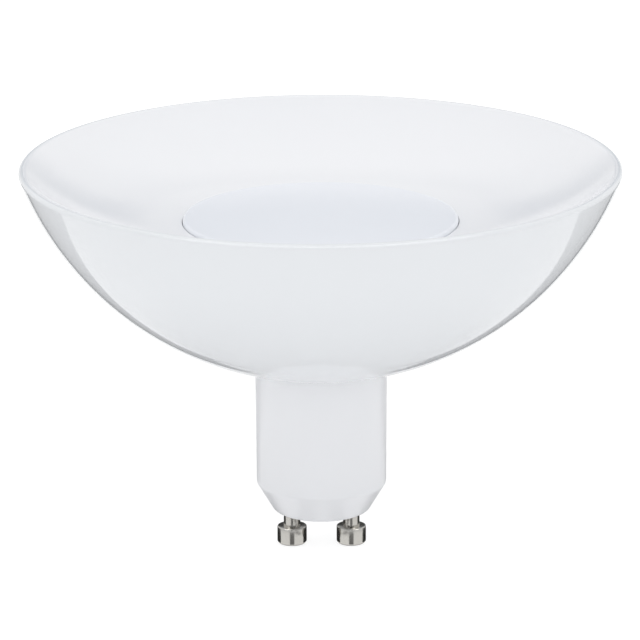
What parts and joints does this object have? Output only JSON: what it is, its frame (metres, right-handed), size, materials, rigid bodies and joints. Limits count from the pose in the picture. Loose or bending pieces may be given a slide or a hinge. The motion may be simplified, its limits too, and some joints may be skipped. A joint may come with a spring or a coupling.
{
  "type": "led spotlight bulb",
  "caption": "Wide reflector spotlight lamp: glossy white bowl, shallow white dish with a low opal diffuser, and a slim neck with a bevelled twist-lock cap and headed contact pins.",
  "frame": {"origin": "on the lamp's axis, in the plane of the contact pins' ends", "axes": "+Z along the lamp's axis from the pins to the dish, +X through the right-hand pin"},
  "size_m": [0.1, 0.1, 0.0657],
  "materials": {
    "bowl_shell": "glossy white moulding",
    "reflector_dish": "smooth white moulding, satin gloss",
    "diffuser": "opal, smooth",
    "neck_housing": "satin white moulding",
    "nickel": "bright nickel plate on turned brass",
    "spreader_aluminium": "pressed sheet, plain",
    "screw_steel": "zinc-plated",
    "board_white": "white mask on aluminium",
    "phosphor": "phosphor window in a white package",
    "board_green": "green mask on glass-fibre board",
    "package_black": "moulded package with tinned leads",
    "can_sleeve": "shrink sleeve on an aluminium can",
    "ferrite": "ground ferrite",
    "copper": "enamelled copper winding",
    "resistor_coat": "flameproof coating",
    "wire_white": "silicone insulation",
    "wire_red": "silicone insulation",
    "wire_black": "silicone insulation"
  },
  "bodies": {
    "root": {"bowl_shell": "bowl_shell", "reflector_dish": "reflector_dish", "diffuser": "diffuser", "neck_housing": "neck_housing", "contact_pin_left": "nickel", "contact_pin_right": "nickel", "heat_spreader": "spreader_aluminium", "spreader_screws": "screw_steel", "neck_screws": "screw_steel", "board_screws": "screw_steel", "led_board": "board_white", "led_chips": "phosphor", "driver_board": "board_green", "bridge_rectifier": "package_black", "driver_chip": "package_black", "output_diode": "package_black", "input_capacitor": "can_sleeve", "output_capacitor": "can_sleeve", "choke_core": "ferrite", "choke_winding": "copper", "fusible_resistor": "resistor_coat", "chip_resistors": "package_black", "pin_wire_left": "wire_white", "pin_wire_right": "wire_white", "led_wire_red": "wire_red", "led_wire_black": "wire_black"}
  },
  "joints": []
}
